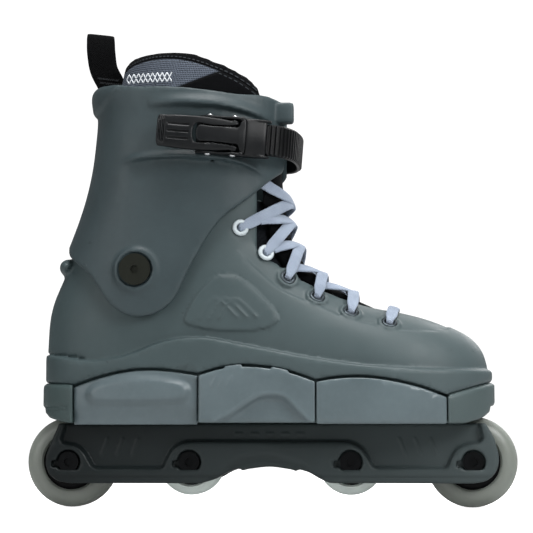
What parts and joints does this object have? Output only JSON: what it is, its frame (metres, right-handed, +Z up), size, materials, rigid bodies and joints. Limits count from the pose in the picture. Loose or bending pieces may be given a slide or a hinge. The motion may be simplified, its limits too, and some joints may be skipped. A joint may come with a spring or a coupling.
{
  "type": "inline skate",
  "caption": "Single right-foot inline park skate with moulded shell, hinged cuff, ratchet buckle, padded liner and short wheel frame with rockered inner wheels.",
  "frame": {"origin": "on the ground, under the middle of the outer wheelbase, on the centre plane of the wheel frame", "axes": "+X towards the toe, +Y towards the inner (medial) side of the foot, +Z up"},
  "size_m": [0.3214, 0.1124, 0.3172],
  "materials": {
    "shell_plastic": "moulded grey thermoplastic, satin",
    "cuff_plastic": "moulded dark grey thermoplastic, satin",
    "panel_plastic": "smooth mid-grey slide plastic",
    "sole_plastic": "grey-green glass-filled plastic",
    "frame_plastic": "black glass-filled nylon",
    "urethane_grey": "cast grey urethane",
    "urethane_white": "cast off-white urethane",
    "hub_black": "black moulded nylon core",
    "steel": "turned and zinc-plated steel",
    "dark_steel": "black-oxide steel",
    "bronze_black": "dark bronze lacquer",
    "white_plastic": "white moulded eyelet plastic",
    "buckle_plastic": "fine-textured black plastic",
    "strap_plastic": "flexible black ribbed plastic",
    "padded_fabric": "grey mesh over foam with black piping",
    "black_fabric": "black woven fabric over foam",
    "lace_fabric": "pale flat woven lace",
    "webbing": "black woven webbing",
    "foam": "dense EVA foam"
  },
  "bodies": {
    "boot": {"boot_shell": "shell_plastic", "eyelet_rings": "white_plastic", "eyelet_ferrules": "dark_steel", "sole_plate": "sole_plastic", "side_panel_rear_outer": "panel_plastic", "side_panel_rear_inner": "panel_plastic", "side_panel_middle_outer": "panel_plastic", "side_panel_middle_inner": "panel_plastic", "side_panel_front_outer": "panel_plastic", "side_panel_front_inner": "panel_plastic", "panel_screws": "steel", "frame_body": "frame_plastic", "frame_bolts": "dark_steel", "frame_bolt_washers": "dark_steel", "boot_t_nuts": "steel", "bearing_inner_races": "steel", "bearing_spacers": "steel", "axle_ferrules": "steel", "wheel_axles": "dark_steel", "axle_end_screws": "dark_steel", "liner_boot": "padded_fabric", "footbed": "foam", "heel_shock_pad": "foam", "tongue": "black_fabric", "laces": "lace_fabric", "ankle_bolts": "bronze_black", "ankle_nuts": "steel", "ankle_washers": "strap_plastic"},
    "cuff": {"cuff": "cuff_plastic", "buckle_base": "buckle_plastic", "buckle_pins": "steel", "latch_spring": "steel", "buckle_rivets": "dark_steel", "strap_anchor_screw": "dark_steel", "strap_anchor_nut": "steel", "liner_collar": "padded_fabric", "pull_loop": "webbing"},
    "lever": {"buckle_lever": "buckle_plastic"},
    "latch": {"buckle_latch": "buckle_plastic"},
    "strap": {"ratchet_strap": "strap_plastic"},
    "wheel_heel": {"tyre_heel": "urethane_grey", "hub_heel": "hub_black", "bearing_races_heel": "steel"},
    "ball_cage_heel": {"bearing_balls_heel": "steel"},
    "wheel_rear_inner": {"tyre_rear_inner": "urethane_white", "hub_rear_inner": "hub_black", "bearing_races_rear_inner": "steel"},
    "ball_cage_rear_inner": {"bearing_balls_rear_inner": "steel"},
    "wheel_front_inner": {"tyre_front_inner": "urethane_white", "hub_front_inner": "hub_black", "bearing_races_front_inner": "steel"},
    "ball_cage_front_inner": {"bearing_balls_front_inner": "steel"},
    "wheel_toe": {"tyre_toe": "urethane_grey", "hub_toe": "hub_black", "bearing_races_toe": "steel"},
    "ball_cage_toe": {"bearing_balls_toe": "steel"}
  },
  "joints": [
    {"name": "cuff_flex", "type": "hinge", "parent": "boot", "child": "cuff", "pos_m": [-0.0855, 0, 0.153], "axis": [0, 1, 0], "range_deg": [-3, 8]},
    {"name": "buckle_lever_open", "type": "hinge", "parent": "cuff", "child": "lever", "pos_m": [-0.02132, -0.05133, 0.23789], "axis": [0.0763, 0.008, 0.9971], "range_deg": [0, 90]},
    {"name": "buckle_latch_release", "type": "hinge", "parent": "cuff", "child": "latch", "pos_m": [-0.03731, -0.0518, 0.23911], "axis": [0.0763, 0.008, 0.9971], "range_deg": [-7, 0]},
    {"name": "strap_draw", "type": "slide", "parent": "cuff", "child": "strap", "axis": [0.9916, 0.1042, -0.0767], "range_m": [0, 0.006]},
    {"name": "wheel_spin_heel", "type": "hinge", "parent": "boot", "child": "wheel_heel", "pos_m": [-0.1312, 0, 0.0295], "axis": [0, 1, 0], "continuous": true},
    {"name": "wheel_spin_rear_inner", "type": "hinge", "parent": "boot", "child": "wheel_rear_inner", "pos_m": [-0.0523, 0, 0.0295], "axis": [0, 1, 0], "continuous": true},
    {"name": "wheel_spin_front_inner", "type": "hinge", "parent": "boot", "child": "wheel_front_inner", "pos_m": [0.0523, 0, 0.0295], "axis": [0, 1, 0], "continuous": true},
    {"name": "wheel_spin_toe", "type": "hinge", "parent": "boot", "child": "wheel_toe", "pos_m": [0.1312, 0, 0.0295], "axis": [0, 1, 0], "continuous": true},
    {"name": "ball_cage_spin_heel", "type": "hinge", "parent": "boot", "child": "ball_cage_heel", "pos_m": [-0.1312, 0, 0.0295], "axis": [0, 1, 0], "continuous": true},
    {"name": "ball_cage_spin_rear_inner", "type": "hinge", "parent": "boot", "child": "ball_cage_rear_inner", "pos_m": [-0.0523, 0, 0.0295], "axis": [0, 1, 0], "continuous": true},
    {"name": "ball_cage_spin_front_inner", "type": "hinge", "parent": "boot", "child": "ball_cage_front_inner", "pos_m": [0.0523, 0, 0.0295], "axis": [0, 1, 0], "continuous": true},
    {"name": "ball_cage_spin_toe", "type": "hinge", "parent": "boot", "child": "ball_cage_toe", "pos_m": [0.1312, 0, 0.0295], "axis": [0, 1, 0], "continuous": true}
  ],
  "couplings": [
    {"joint": "ball_cage_spin_heel", "follows": "wheel_spin_heel", "ratio": 0.616},
    {"joint": "ball_cage_spin_rear_inner", "follows": "wheel_spin_rear_inner", "ratio": 0.616},
    {"joint": "ball_cage_spin_front_inner", "follows": "wheel_spin_front_inner", "ratio": 0.616},
    {"joint": "ball_cage_spin_toe", "follows": "wheel_spin_toe", "ratio": 0.616}
  ]
}
